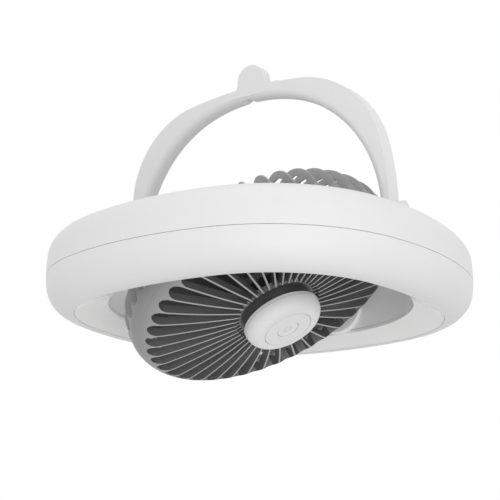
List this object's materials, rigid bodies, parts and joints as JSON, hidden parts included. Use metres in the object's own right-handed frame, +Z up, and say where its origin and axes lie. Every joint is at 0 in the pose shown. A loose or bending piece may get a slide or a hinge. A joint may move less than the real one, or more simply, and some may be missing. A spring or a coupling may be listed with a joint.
{
  "type": "hanging usb fan",
  "caption": "Ring fan with an arched handle: a finned fan head tilts inside a white ring with a lamp under it, and keys sit on the hub.",
  "frame": {"origin": "apex of the notch under the handle's arch, where the hook carries the fan", "axes": "+Z up; +X towards one handle leg; +Y along the axis on which the fan head tilts"},
  "size_m": [0.25, 0.2499, 0.1918],
  "materials": {
    "white_plastic": "satin",
    "grey_plastic": "satin",
    "dark_plastic": "satin",
    "milky_plastic": "frosted",
    "nylon": "matt",
    "steel": "satin",
    "socket_shell": "bright",
    "can_steel": "zinc grey",
    "magnet": "matt black",
    "laminations": "matt",
    "copper_wire": "enamelled",
    "green_board": "satin",
    "white_board": "satin",
    "lamp": "gloss",
    "cell_wrap": "gloss",
    "cable_cover": "matt"
  },
  "bodies": {
    "handle": {"handle_bail": "white_plastic"},
    "ring": {"ring_upper_shell": "white_plastic", "ring_lower_shell": "white_plastic", "inner_wall": "white_plastic", "light_diffuser": "milky_plastic", "pivot_bosses": "white_plastic", "case_screws": "steel", "handle_pivot_screws": "steel", "handle_friction_washers": "nylon", "led_board": "white_board", "leds": "lamp", "battery_cells": "cell_wrap", "battery_cradles": "dark_plastic", "main_board": "green_board", "usb_socket": "socket_shell", "ring_wires": "cable_cover"},
    "head": {"front_grille": "grey_plastic", "rear_grille": "grey_plastic", "hub_collar": "white_plastic", "hub_cap": "white_plastic", "button_board": "green_board", "tact_switches": "dark_plastic", "tilt_axles": "steel", "axle_spring_washers": "steel", "axle_nuts": "steel", "motor_base": "dark_plastic", "motor_screws": "steel", "driver_board": "green_board", "bearings": "steel", "stator_core": "laminations", "stator_windings": "copper_wire", "head_wires": "cable_cover"},
    "rotor": {"rotor_can": "can_steel", "magnet_ring": "magnet", "motor_shaft": "steel", "shaft_circlip": "steel", "impeller": "dark_plastic"},
    "selector_key": {"selector_ring": "white_plastic"},
    "power_key": {"power_button": "white_plastic", "power_plunger": "white_plastic"}
  },
  "joints": [
    {"name": "handle_fold", "type": "hinge", "parent": "handle", "child": "ring", "pos_m": [0, 0.00579, -0.09266], "axis": [1, 0, 0], "range_deg": [-76.6, 87.4]},
    {"name": "head_tilt", "type": "hinge", "parent": "ring", "child": "head", "pos_m": [0, 0.00965, -0.11716], "axis": [0, 1, 0], "range_deg": [-60, 120]},
    {"name": "rotor_spin", "type": "hinge", "parent": "head", "child": "rotor", "pos_m": [0, 0.00965, -0.11716], "axis": [0.5, 0, -0.866], "continuous": true},
    {"name": "selector_press", "type": "slide", "parent": "head", "child": "selector_key", "axis": [-0.5, 0, 0.866], "range_m": [0, 0.0005], "stiffness_N_per_m": 1500, "springref_m": -0.0005},
    {"name": "power_press", "type": "slide", "parent": "head", "child": "power_key", "axis": [-0.5, 0, 0.866], "range_m": [0, 0.0005], "stiffness_N_per_m": 1500, "springref_m": -0.0005}
  ]
}
